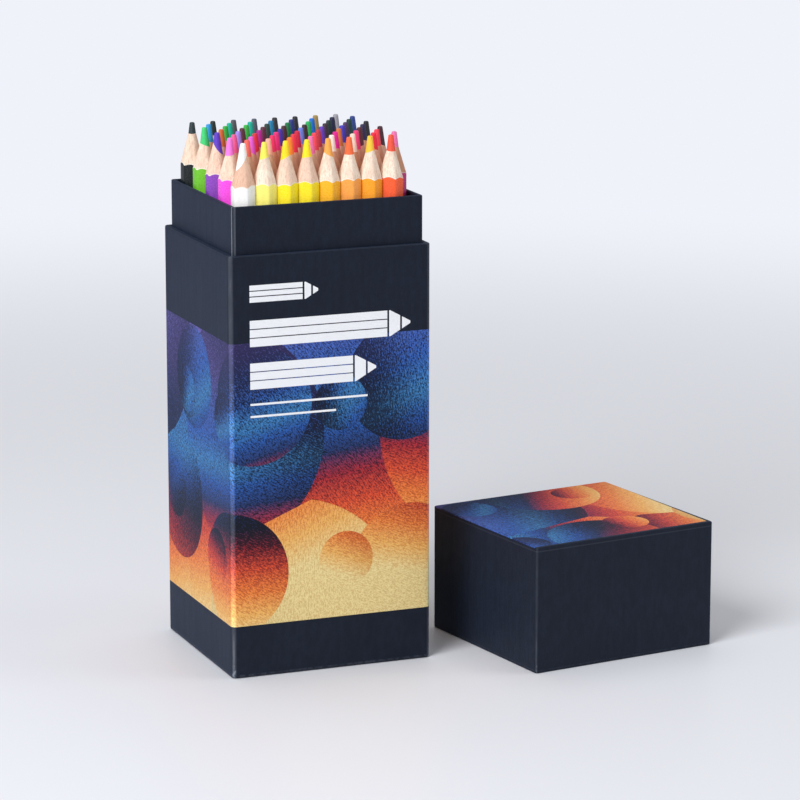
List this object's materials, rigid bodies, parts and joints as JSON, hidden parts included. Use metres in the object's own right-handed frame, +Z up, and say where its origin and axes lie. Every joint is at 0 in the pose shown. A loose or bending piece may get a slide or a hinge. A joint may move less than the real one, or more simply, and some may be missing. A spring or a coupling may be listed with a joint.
{
  "type": "pencil box",
  "caption": "Tall rigid paper-wrapped box with a shoulder neck, full of upright sharpened hexagonal coloured pencils, open, with its lift-off lid set down beside it.",
  "frame": {"origin": "centre of the body's underside", "axes": "+Z up along the pencils, -Y out of the body's front face, +X towards the lid"},
  "size_m": [0.1632, 0.097, 0.1752],
  "materials": {
    "printed_wrap": "matte printed paper with a fine grain",
    "black_paper": "matte black paper with a fine grain",
    "greyboard": "raw greyboard",
    "stay_tape": "kraft paper tape",
    "pencil_white": "glossy lacquer on a wood barrel, bare wood cone, waxy coloured core",
    "pencil_yellow": "glossy lacquer on a wood barrel, bare wood cone, waxy coloured core",
    "pencil_orange": "glossy lacquer on a wood barrel, bare wood cone, waxy coloured core",
    "pencil_red": "glossy lacquer on a wood barrel, bare wood cone, waxy coloured core",
    "pencil_pink": "glossy lacquer on a wood barrel, bare wood cone, waxy coloured core",
    "pencil_violet": "glossy lacquer on a wood barrel, bare wood cone, waxy coloured core",
    "pencil_brown": "glossy lacquer on a wood barrel, bare wood cone, waxy coloured core",
    "pencil_green": "glossy lacquer on a wood barrel, bare wood cone, waxy coloured core",
    "pencil_dark_green": "glossy lacquer on a wood barrel, bare wood cone, waxy coloured core",
    "pencil_teal": "glossy lacquer on a wood barrel, bare wood cone, waxy coloured core",
    "pencil_blue": "glossy lacquer on a wood barrel, bare wood cone, waxy coloured core",
    "pencil_navy": "glossy lacquer on a wood barrel, bare wood cone, waxy coloured core",
    "pencil_black": "glossy lacquer on a wood barrel, bare wood cone, waxy coloured core",
    "pencil_metallic": "glossy lacquer on a wood barrel, bare wood cone, waxy coloured core"
  },
  "bodies": {
    "box": {"body_board": "greyboard", "body_corner_stays": "stay_tape", "body_wrap": "printed_wrap", "base_cover": "black_paper", "base_liner": "black_paper", "neck_board": "greyboard", "neck_wrap": "black_paper"},
    "lid": {"lid_board": "greyboard", "lid_corner_stays": "stay_tape", "lid_wrap": "printed_wrap"},
    "pencil_r1_c1": {"pencil_r1_c1": "pencil_white"},
    "pencil_r1_c2": {"pencil_r1_c2": "pencil_yellow"},
    "pencil_r1_c3": {"pencil_r1_c3": "pencil_yellow"},
    "pencil_r1_c4": {"pencil_r1_c4": "pencil_yellow"},
    "pencil_r1_c5": {"pencil_r1_c5": "pencil_orange"},
    "pencil_r1_c6": {"pencil_r1_c6": "pencil_orange"},
    "pencil_r1_c7": {"pencil_r1_c7": "pencil_yellow"},
    "pencil_r1_c8": {"pencil_r1_c8": "pencil_red"},
    "pencil_r2_c1": {"pencil_r2_c1": "pencil_red"},
    "pencils_r2_c2_to_c3": {"pencils_r2_c2_to_c3": "pencil_orange"},
    "pencils_r2_c4_to_c5": {"pencils_r2_c4_to_c5": "pencil_pink"},
    "pencils_r2_c6_to_c7": {"pencils_r2_c6_to_c7": "pencil_white"},
    "pencil_r2_c8": {"pencil_r2_c8": "pencil_pink"},
    "pencil_r3_c1": {"pencil_r3_c1": "pencil_pink"},
    "pencils_r3_c2_to_c3": {"pencils_r3_c2_to_c3": "pencil_pink"},
    "pencils_r3_c4_to_c5": {"pencils_r3_c4_to_c5": "pencil_red"},
    "pencils_r3_c6_to_c7": {"pencils_r3_c6_to_c7": "pencil_pink"},
    "pencil_r3_c8": {"pencil_r3_c8": "pencil_red"},
    "pencil_r4_c1": {"pencil_r4_c1": "pencil_pink"},
    "pencils_r4_c2_to_c3": {"pencils_r4_c2_to_c3": "pencil_red"},
    "pencils_r4_c4_to_c5": {"pencils_r4_c4_to_c5": "pencil_red"},
    "pencils_r4_c6_to_c7": {"pencils_r4_c6_to_c7": "pencil_orange"},
    "pencil_r4_c8": {"pencil_r4_c8": "pencil_brown"},
    "pencil_r5_c1": {"pencil_r5_c1": "pencil_violet"},
    "pencils_r5_c2_to_c4": {"pencils_r5_c2_to_c4": "pencil_violet"},
    "pencils_r5_c5_to_c7": {"pencils_r5_c5_to_c7": "pencil_blue"},
    "pencil_r5_c8": {"pencil_r5_c8": "pencil_navy"},
    "pencil_r6_c1": {"pencil_r6_c1": "pencil_orange"},
    "pencils_r6_c2_to_c3": {"pencils_r6_c2_to_c3": "pencil_brown"},
    "pencils_r6_c4_to_c5": {"pencils_r6_c4_to_c5": "pencil_brown"},
    "pencils_r6_c6_to_c7": {"pencils_r6_c6_to_c7": "pencil_brown"},
    "pencil_r6_c8": {"pencil_r6_c8": "pencil_black"},
    "pencil_r7_c1": {"pencil_r7_c1": "pencil_green"},
    "pencils_r7_c2_to_c3": {"pencils_r7_c2_to_c3": "pencil_green"},
    "pencils_r7_c4_to_c5": {"pencils_r7_c4_to_c5": "pencil_dark_green"},
    "pencils_r7_c6_to_c7": {"pencils_r7_c6_to_c7": "pencil_green"},
    "pencil_r7_c8": {"pencil_r7_c8": "pencil_dark_green"},
    "pencil_r8_c1": {"pencil_r8_c1": "pencil_blue"},
    "pencils_r8_c2_to_c3": {"pencils_r8_c2_to_c3": "pencil_teal"},
    "pencils_r8_c4_to_c5": {"pencils_r8_c4_to_c5": "pencil_blue"},
    "pencils_r8_c6_to_c7": {"pencils_r8_c6_to_c7": "pencil_blue"},
    "pencil_r8_c8": {"pencil_r8_c8": "pencil_navy"},
    "pencil_r9_c1": {"pencil_r9_c1": "pencil_black"},
    "pencil_r9_c2": {"pencil_r9_c2": "pencil_black"},
    "pencil_r9_c3": {"pencil_r9_c3": "pencil_black"},
    "pencil_r9_c4": {"pencil_r9_c4": "pencil_black"},
    "pencil_r9_c5": {"pencil_r9_c5": "pencil_black"},
    "pencil_r9_c6": {"pencil_r9_c6": "pencil_black"},
    "pencil_r9_c7": {"pencil_r9_c7": "pencil_metallic"},
    "pencil_r9_c8": {"pencil_r9_c8": "pencil_metallic"}
  },
  "joints": [
    {"name": "lid_lift", "type": "slide", "parent": "box", "child": "lid", "axis": [0, 0, 1], "range_m": [0, 0.18]},
    {"name": "pencil_r1_c1_lift", "type": "slide", "parent": "box", "child": "pencil_r1_c1", "axis": [0, 0, 1], "range_m": [0, 0.155]},
    {"name": "pencil_r1_c2_lift", "type": "slide", "parent": "box", "child": "pencil_r1_c2", "axis": [0, 0, 1], "range_m": [0, 0.155]},
    {"name": "pencil_r1_c3_lift", "type": "slide", "parent": "box", "child": "pencil_r1_c3", "axis": [0, 0, 1], "range_m": [0, 0.155]},
    {"name": "pencil_r1_c4_lift", "type": "slide", "parent": "box", "child": "pencil_r1_c4", "axis": [0, 0, 1], "range_m": [0, 0.155]},
    {"name": "pencil_r1_c5_lift", "type": "slide", "parent": "box", "child": "pencil_r1_c5", "axis": [0, 0, 1], "range_m": [0, 0.155]},
    {"name": "pencil_r1_c6_lift", "type": "slide", "parent": "box", "child": "pencil_r1_c6", "axis": [0, 0, 1], "range_m": [0, 0.155]},
    {"name": "pencil_r1_c7_lift", "type": "slide", "parent": "box", "child": "pencil_r1_c7", "axis": [0, 0, 1], "range_m": [0, 0.155]},
    {"name": "pencil_r1_c8_lift", "type": "slide", "parent": "box", "child": "pencil_r1_c8", "axis": [0, 0, 1], "range_m": [0, 0.155]},
    {"name": "pencil_r2_c1_lift", "type": "slide", "parent": "box", "child": "pencil_r2_c1", "axis": [0, 0, 1], "range_m": [0, 0.155]},
    {"name": "pencils_r2_c2_to_c3_lift", "type": "slide", "parent": "box", "child": "pencils_r2_c2_to_c3", "axis": [0, 0, 1], "range_m": [0, 0.155]},
    {"name": "pencils_r2_c4_to_c5_lift", "type": "slide", "parent": "box", "child": "pencils_r2_c4_to_c5", "axis": [0, 0, 1], "range_m": [0, 0.155]},
    {"name": "pencils_r2_c6_to_c7_lift", "type": "slide", "parent": "box", "child": "pencils_r2_c6_to_c7", "axis": [0, 0, 1], "range_m": [0, 0.155]},
    {"name": "pencil_r2_c8_lift", "type": "slide", "parent": "box", "child": "pencil_r2_c8", "axis": [0, 0, 1], "range_m": [0, 0.155]},
    {"name": "pencil_r3_c1_lift", "type": "slide", "parent": "box", "child": "pencil_r3_c1", "axis": [0, 0, 1], "range_m": [0, 0.155]},
    {"name": "pencils_r3_c2_to_c3_lift", "type": "slide", "parent": "box", "child": "pencils_r3_c2_to_c3", "axis": [0, 0, 1], "range_m": [0, 0.155]},
    {"name": "pencils_r3_c4_to_c5_lift", "type": "slide", "parent": "box", "child": "pencils_r3_c4_to_c5", "axis": [0, 0, 1], "range_m": [0, 0.155]},
    {"name": "pencils_r3_c6_to_c7_lift", "type": "slide", "parent": "box", "child": "pencils_r3_c6_to_c7", "axis": [0, 0, 1], "range_m": [0, 0.155]},
    {"name": "pencil_r3_c8_lift", "type": "slide", "parent": "box", "child": "pencil_r3_c8", "axis": [0, 0, 1], "range_m": [0, 0.155]},
    {"name": "pencil_r4_c1_lift", "type": "slide", "parent": "box", "child": "pencil_r4_c1", "axis": [0, 0, 1], "range_m": [0, 0.155]},
    {"name": "pencils_r4_c2_to_c3_lift", "type": "slide", "parent": "box", "child": "pencils_r4_c2_to_c3", "axis": [0, 0, 1], "range_m": [0, 0.155]},
    {"name": "pencils_r4_c4_to_c5_lift", "type": "slide", "parent": "box", "child": "pencils_r4_c4_to_c5", "axis": [0, 0, 1], "range_m": [0, 0.155]},
    {"name": "pencils_r4_c6_to_c7_lift", "type": "slide", "parent": "box", "child": "pencils_r4_c6_to_c7", "axis": [0, 0, 1], "range_m": [0, 0.155]},
    {"name": "pencil_r4_c8_lift", "type": "slide", "parent": "box", "child": "pencil_r4_c8", "axis": [0, 0, 1], "range_m": [0, 0.155]},
    {"name": "pencil_r5_c1_lift", "type": "slide", "parent": "box", "child": "pencil_r5_c1", "axis": [0, 0, 1], "range_m": [0, 0.155]},
    {"name": "pencils_r5_c2_to_c4_lift", "type": "slide", "parent": "box", "child": "pencils_r5_c2_to_c4", "axis": [0, 0, 1], "range_m": [0, 0.155]},
    {"name": "pencils_r5_c5_to_c7_lift", "type": "slide", "parent": "box", "child": "pencils_r5_c5_to_c7", "axis": [0, 0, 1], "range_m": [0, 0.155]},
    {"name": "pencil_r5_c8_lift", "type": "slide", "parent": "box", "child": "pencil_r5_c8", "axis": [0, 0, 1], "range_m": [0, 0.155]},
    {"name": "pencil_r6_c1_lift", "type": "slide", "parent": "box", "child": "pencil_r6_c1", "axis": [0, 0, 1], "range_m": [0, 0.155]},
    {"name": "pencils_r6_c2_to_c3_lift", "type": "slide", "parent": "box", "child": "pencils_r6_c2_to_c3", "axis": [0, 0, 1], "range_m": [0, 0.155]},
    {"name": "pencils_r6_c4_to_c5_lift", "type": "slide", "parent": "box", "child": "pencils_r6_c4_to_c5", "axis": [0, 0, 1], "range_m": [0, 0.155]},
    {"name": "pencils_r6_c6_to_c7_lift", "type": "slide", "parent": "box", "child": "pencils_r6_c6_to_c7", "axis": [0, 0, 1], "range_m": [0, 0.155]},
    {"name": "pencil_r6_c8_lift", "type": "slide", "parent": "box", "child": "pencil_r6_c8", "axis": [0, 0, 1], "range_m": [0, 0.155]},
    {"name": "pencil_r7_c1_lift", "type": "slide", "parent": "box", "child": "pencil_r7_c1", "axis": [0, 0, 1], "range_m": [0, 0.155]},
    {"name": "pencils_r7_c2_to_c3_lift", "type": "slide", "parent": "box", "child": "pencils_r7_c2_to_c3", "axis": [0, 0, 1], "range_m": [0, 0.155]},
    {"name": "pencils_r7_c4_to_c5_lift", "type": "slide", "parent": "box", "child": "pencils_r7_c4_to_c5", "axis": [0, 0, 1], "range_m": [0, 0.155]},
    {"name": "pencils_r7_c6_to_c7_lift", "type": "slide", "parent": "box", "child": "pencils_r7_c6_to_c7", "axis": [0, 0, 1], "range_m": [0, 0.155]},
    {"name": "pencil_r7_c8_lift", "type": "slide", "parent": "box", "child": "pencil_r7_c8", "axis": [0, 0, 1], "range_m": [0, 0.155]},
    {"name": "pencil_r8_c1_lift", "type": "slide", "parent": "box", "child": "pencil_r8_c1", "axis": [0, 0, 1], "range_m": [0, 0.155]},
    {"name": "pencils_r8_c2_to_c3_lift", "type": "slide", "parent": "box", "child": "pencils_r8_c2_to_c3", "axis": [0, 0, 1], "range_m": [0, 0.155]},
    {"name": "pencils_r8_c4_to_c5_lift", "type": "slide", "parent": "box", "child": "pencils_r8_c4_to_c5", "axis": [0, 0, 1], "range_m": [0, 0.155]},
    {"name": "pencils_r8_c6_to_c7_lift", "type": "slide", "parent": "box", "child": "pencils_r8_c6_to_c7", "axis": [0, 0, 1], "range_m": [0, 0.155]},
    {"name": "pencil_r8_c8_lift", "type": "slide", "parent": "box", "child": "pencil_r8_c8", "axis": [0, 0, 1], "range_m": [0, 0.155]},
    {"name": "pencil_r9_c1_lift", "type": "slide", "parent": "box", "child": "pencil_r9_c1", "axis": [0, 0, 1], "range_m": [0, 0.155]},
    {"name": "pencil_r9_c2_lift", "type": "slide", "parent": "box", "child": "pencil_r9_c2", "axis": [0, 0, 1], "range_m": [0, 0.155]},
    {"name": "pencil_r9_c3_lift", "type": "slide", "parent": "box", "child": "pencil_r9_c3", "axis": [0, 0, 1], "range_m": [0, 0.155]},
    {"name": "pencil_r9_c4_lift", "type": "slide", "parent": "box", "child": "pencil_r9_c4", "axis": [0, 0, 1], "range_m": [0, 0.155]},
    {"name": "pencil_r9_c5_lift", "type": "slide", "parent": "box", "child": "pencil_r9_c5", "axis": [0, 0, 1], "range_m": [0, 0.155]},
    {"name": "pencil_r9_c6_lift", "type": "slide", "parent": "box", "child": "pencil_r9_c6", "axis": [0, 0, 1], "range_m": [0, 0.155]},
    {"name": "pencil_r9_c7_lift", "type": "slide", "parent": "box", "child": "pencil_r9_c7", "axis": [0, 0, 1], "range_m": [0, 0.155]},
    {"name": "pencil_r9_c8_lift", "type": "slide", "parent": "box", "child": "pencil_r9_c8", "axis": [0, 0, 1], "range_m": [0, 0.155]}
  ]
}
